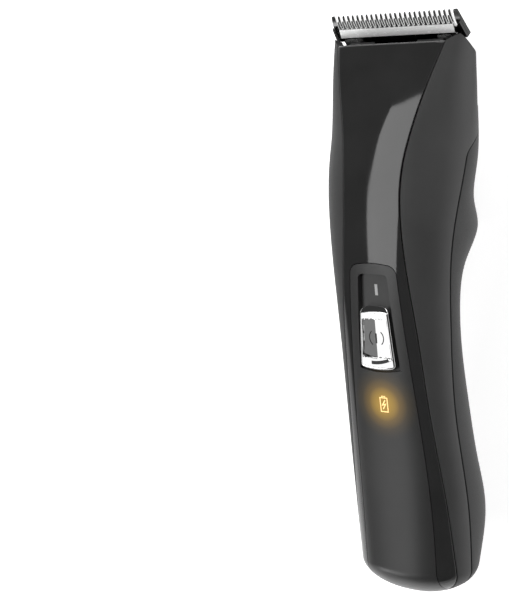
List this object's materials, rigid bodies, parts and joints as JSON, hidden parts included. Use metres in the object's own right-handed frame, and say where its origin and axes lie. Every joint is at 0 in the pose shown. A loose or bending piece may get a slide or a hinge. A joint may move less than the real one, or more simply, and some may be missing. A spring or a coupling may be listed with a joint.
{
  "type": "cordless hair clipper",
  "caption": "Cordless hair clipper with a waisted grip, glossy front, chrome slide switch, battery light and a toothed steel blade set on a hinged head.",
  "frame": {"origin": "centre of the bounding box's underside, on the surface the clipper lies on", "axes": "+X to the clipper's right seen from the switch side with the blade up, +Y from the heel end to the blade tips, +Z from the back to the switch side"},
  "size_m": [0.0424, 0.1609, 0.0409],
  "materials": {
    "gloss_black": "polished",
    "matt_grey": "soft matt",
    "matt_black": "matt",
    "satin_grey": "satin",
    "chrome": "mirror",
    "steel": "ground",
    "dark_steel": "blackened",
    "amber": "translucent",
    "white_plastic": "moulded",
    "board_green": "solder mask",
    "cell_wrap": "shrink wrap"
  },
  "bodies": {
    "housing": {"front_shell": "gloss_black", "wing_right": "matt_grey", "wing_left": "matt_grey", "back_shell": "matt_black", "control_panel": "satin_grey", "light_window": "amber", "light_chip": "amber", "hinge_pin": "dark_steel", "motor_can": "steel", "motor_bracket": "satin_grey", "motor_screw_right": "dark_steel", "motor_screw_left": "dark_steel", "battery_cell": "cell_wrap", "battery_tab_positive": "steel", "battery_tab_negative": "steel", "battery_tray": "matt_black", "circuit_board": "board_green", "board_screw_low": "dark_steel", "board_screw_high": "dark_steel", "slide_switch": "satin_grey", "charge_chip": "matt_black", "charge_socket": "steel", "socket_tongue": "matt_black", "socket_board": "board_green", "case_screw_low": "dark_steel", "case_screw_high": "dark_steel"},
    "head": {"head_carrier": "matt_black", "comb_blade": "steel", "blade_screw_right": "dark_steel", "blade_screw_left": "dark_steel", "cutter_spring_right": "steel", "cutter_spring_left": "steel"},
    "cutter": {"cutter_blade": "steel", "cutter_fork": "white_plastic"},
    "rotor": {"motor_shaft": "steel", "eccentric_hub": "white_plastic", "crank_pin": "steel"},
    "power_slider": {"switch_slider": "chrome", "switch_stem": "matt_black"}
  },
  "joints": [
    {"name": "head_hinge", "type": "hinge", "parent": "housing", "child": "head", "pos_m": [0, 0.06423, 0.01755], "axis": [-1, 0, 0], "range_deg": [0, 60]},
    {"name": "cutter_stroke", "type": "slide", "parent": "head", "child": "cutter", "axis": [1, 0, 0], "range_m": [-0.0009, 0.0009]},
    {"name": "crank_spin", "type": "hinge", "parent": "housing", "child": "rotor", "pos_m": [0, 0.0514, 0.023], "axis": [0, 1, 0], "continuous": true},
    {"name": "power_switch", "type": "slide", "parent": "housing", "child": "power_slider", "axis": [0, 0.9963, 0.086], "range_m": [0, 0.008]}
  ]
}
